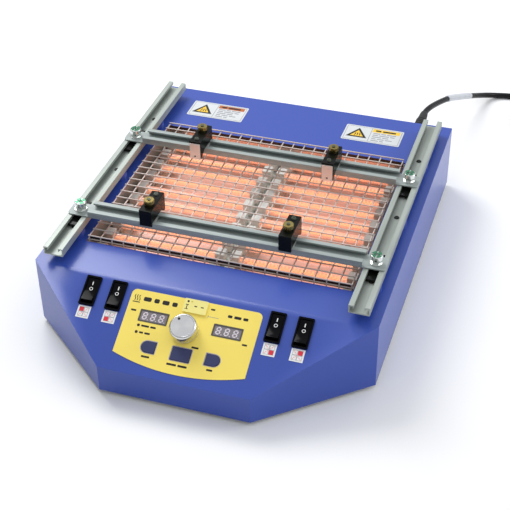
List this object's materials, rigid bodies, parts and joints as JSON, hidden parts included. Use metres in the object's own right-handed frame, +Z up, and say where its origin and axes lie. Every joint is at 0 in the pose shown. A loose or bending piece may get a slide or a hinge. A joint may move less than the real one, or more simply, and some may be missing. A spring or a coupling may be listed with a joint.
{
  "type": "infrared board preheater",
  "caption": "Benchtop infrared preheater for circuit boards: open quartz heaters under a wire guard, sliding board clamps on rails, and a sloping yellow control panel.",
  "frame": {"origin": "on the floor under the middle of the case, the power cord left out of the box", "axes": "+Z up; the control panel faces -Y; +X to the right seen from the control panel; +Y towards the back, where the cord leaves"},
  "size_m": [0.5965, 0.7747, 0.1421],
  "materials": {
    "case_blue": "smooth baked enamel, mid blue",
    "zinc_steel": "zinc plated, thin brushed grain",
    "foot_rubber": "moulded black rubber",
    "quartz_glass": "clear quartz, lit from inside",
    "heater_wire": "resistance wire glowing orange",
    "steatite": "unglazed off-white steatite",
    "plated_wire": "bright nickel plated wire",
    "overlay_yellow": "fine-textured yellow polyester film",
    "label_white": "white vinyl with plain printed blocks",
    "display_grey": "grey display face behind clear plastic",
    "led_red": "clear-edged red diodes",
    "socket_cream": "pale yellow moulding",
    "switch_black": "black nylon with white marks",
    "key_navy": "dark blue keys with a pale outline",
    "turned_aluminium": "turned, rings on top and a knurled skirt",
    "board_green": "green solder mask",
    "brass": "knurled brass",
    "rail_aluminium": "satin anodised extrusion",
    "black_metal": "black satin finish",
    "jaw_steel": "plain cold-rolled steel",
    "cord_black": "black flexible cord jacket"
  },
  "bodies": {
    "chassis": {"top_cover": "case_blue", "base_plate": "zinc_steel", "machine_screws": "zinc_steel", "heater_tray": "zinc_steel", "heat_shield": "zinc_steel", "centre_bracket": "zinc_steel", "rubber_feet": "foot_rubber", "strain_relief": "foot_rubber", "quartz_tubes": "quartz_glass", "heater_coils": "heater_wire", "ceramic_holders": "steatite", "guard_grid": "plated_wire", "control_overlay": "overlay_yellow", "zone_stickers": "label_white", "rear_labels": "label_white", "cord_tag": "label_white", "display_left": "display_grey", "display_right": "display_grey", "indicator_leds": "led_red", "thermocouple_socket": "socket_cream", "rocker_frames": "switch_black", "encoder": "turned_aluminium", "heat_sink": "turned_aluminium", "control_board": "board_green", "power_board": "board_green", "board_standoffs": "brass", "rail_left": "rail_aluminium", "rail_right": "rail_aluminium", "power_cord": "cord_black", "cord_coil": "cord_black", "mains_plug": "cord_black"},
    "rocker_1": {"rocker_1": "switch_black"},
    "rocker_2": {"rocker_2": "switch_black"},
    "rocker_3": {"rocker_3": "switch_black"},
    "rocker_4": {"rocker_4": "switch_black"},
    "start_button": {"start_button": "key_navy"},
    "mode_button": {"mode_button": "key_navy"},
    "unit_button": {"unit_button": "key_navy"},
    "setting_knob": {"knob": "turned_aluminium", "encoder_shaft": "turned_aluminium"},
    "front_crossbar": {"crossbar_front": "rail_aluminium", "slide_nuts_front": "black_metal"},
    "rear_crossbar": {"crossbar_rear": "rail_aluminium", "slide_nuts_rear": "black_metal"},
    "lock_screw_fl": {"lock_screw_fl": "zinc_steel"},
    "clamp_fl": {"clamp_body_fl": "black_metal", "clamp_steel_fl": "jaw_steel"},
    "thumb_nut_fl": {"thumb_nut_fl": "brass"},
    "lock_screw_fr": {"lock_screw_fr": "zinc_steel"},
    "clamp_fr": {"clamp_body_fr": "black_metal", "clamp_steel_fr": "jaw_steel"},
    "thumb_nut_fr": {"thumb_nut_fr": "brass"},
    "lock_screw_rl": {"lock_screw_rl": "zinc_steel"},
    "clamp_rl": {"clamp_body_rl": "black_metal", "clamp_steel_rl": "jaw_steel"},
    "thumb_nut_rl": {"thumb_nut_rl": "brass"},
    "lock_screw_rr": {"lock_screw_rr": "zinc_steel"},
    "clamp_rr": {"clamp_body_rr": "black_metal", "clamp_steel_rr": "jaw_steel"},
    "thumb_nut_rr": {"thumb_nut_rr": "brass"}
  },
  "joints": [
    {"name": "rocker_1_tilt", "type": "hinge", "parent": "chassis", "child": "rocker_1", "pos_m": [-0.123, -0.18073, 0.07515], "axis": [1, 0, 0], "range_deg": [0, 16]},
    {"name": "rocker_2_tilt", "type": "hinge", "parent": "chassis", "child": "rocker_2", "pos_m": [-0.092, -0.18073, 0.07515], "axis": [1, 0, 0], "range_deg": [0, 16]},
    {"name": "rocker_3_tilt", "type": "hinge", "parent": "chassis", "child": "rocker_3", "pos_m": [0.092, -0.18073, 0.07515], "axis": [1, 0, 0], "range_deg": [0, 16]},
    {"name": "rocker_4_tilt", "type": "hinge", "parent": "chassis", "child": "rocker_4", "pos_m": [0.123, -0.18073, 0.07515], "axis": [1, 0, 0], "range_deg": [0, 16]},
    {"name": "start_button_press", "type": "slide", "parent": "chassis", "child": "start_button", "axis": [0, 0.4664, -0.8846], "range_m": [0, 0.0005], "stiffness_N_per_m": 500},
    {"name": "mode_button_press", "type": "slide", "parent": "chassis", "child": "mode_button", "axis": [0, 0.4664, -0.8846], "range_m": [0, 0.0005], "stiffness_N_per_m": 500},
    {"name": "unit_button_press", "type": "slide", "parent": "chassis", "child": "unit_button", "axis": [0, 0.4664, -0.8846], "range_m": [0, 0.0005], "stiffness_N_per_m": 500},
    {"name": "setting_knob_turn", "type": "hinge", "parent": "chassis", "child": "setting_knob", "pos_m": [-0.003, -0.20614, 0.07081], "axis": [0, -0.4664, 0.8846], "continuous": true},
    {"name": "front_crossbar_slide", "type": "slide", "parent": "chassis", "child": "front_crossbar", "axis": [0, 1, 0], "range_m": [-0.05, 0.045]},
    {"name": "rear_crossbar_slide", "type": "slide", "parent": "chassis", "child": "rear_crossbar", "axis": [0, 1, 0], "range_m": [-0.045, 0.122]},
    {"name": "lock_screw_fl_turn", "type": "hinge", "parent": "front_crossbar", "child": "lock_screw_fl", "pos_m": [-0.177, -0.081, 0.118], "axis": [0, 0, 1], "range_deg": [0, 360]},
    {"name": "lock_screw_fr_turn", "type": "hinge", "parent": "front_crossbar", "child": "lock_screw_fr", "pos_m": [0.177, -0.081, 0.118], "axis": [0, 0, 1], "range_deg": [0, 360]},
    {"name": "lock_screw_rl_turn", "type": "hinge", "parent": "rear_crossbar", "child": "lock_screw_rl", "pos_m": [-0.177, 0.088, 0.118], "axis": [0, 0, 1], "range_deg": [0, 360]},
    {"name": "lock_screw_rr_turn", "type": "hinge", "parent": "rear_crossbar", "child": "lock_screw_rr", "pos_m": [0.177, 0.088, 0.118], "axis": [0, 0, 1], "range_deg": [0, 360]},
    {"name": "clamp_fl_slide", "type": "slide", "parent": "front_crossbar", "child": "clamp_fl", "axis": [1, 0, 0], "range_m": [-0.06, 0.08]},
    {"name": "thumb_nut_fl_turn", "type": "hinge", "parent": "clamp_fl", "child": "thumb_nut_fl", "pos_m": [-0.0895, -0.081, 0.139], "axis": [0, 0, 1], "range_deg": [0, 360]},
    {"name": "clamp_fr_slide", "type": "slide", "parent": "front_crossbar", "child": "clamp_fr", "axis": [1, 0, 0], "range_m": [-0.066, 0.072]},
    {"name": "thumb_nut_fr_turn", "type": "hinge", "parent": "clamp_fr", "child": "thumb_nut_fr", "pos_m": [0.076, -0.081, 0.139], "axis": [0, 0, 1], "range_deg": [0, 360]},
    {"name": "clamp_rl_slide", "type": "slide", "parent": "rear_crossbar", "child": "clamp_rl", "axis": [1, 0, 0], "range_m": [-0.062, 0.076]},
    {"name": "thumb_nut_rl_turn", "type": "hinge", "parent": "clamp_rl", "child": "thumb_nut_rl", "pos_m": [-0.086, 0.088, 0.139], "axis": [0, 0, 1], "range_deg": [0, 360]},
    {"name": "clamp_rr_slide", "type": "slide", "parent": "rear_crossbar", "child": "clamp_rr", "axis": [1, 0, 0], "range_m": [-0.072, 0.065]},
    {"name": "thumb_nut_rr_turn", "type": "hinge", "parent": "clamp_rr", "child": "thumb_nut_rr", "pos_m": [0.0825, 0.088, 0.139], "axis": [0, 0, 1], "range_deg": [0, 360]}
  ]
}
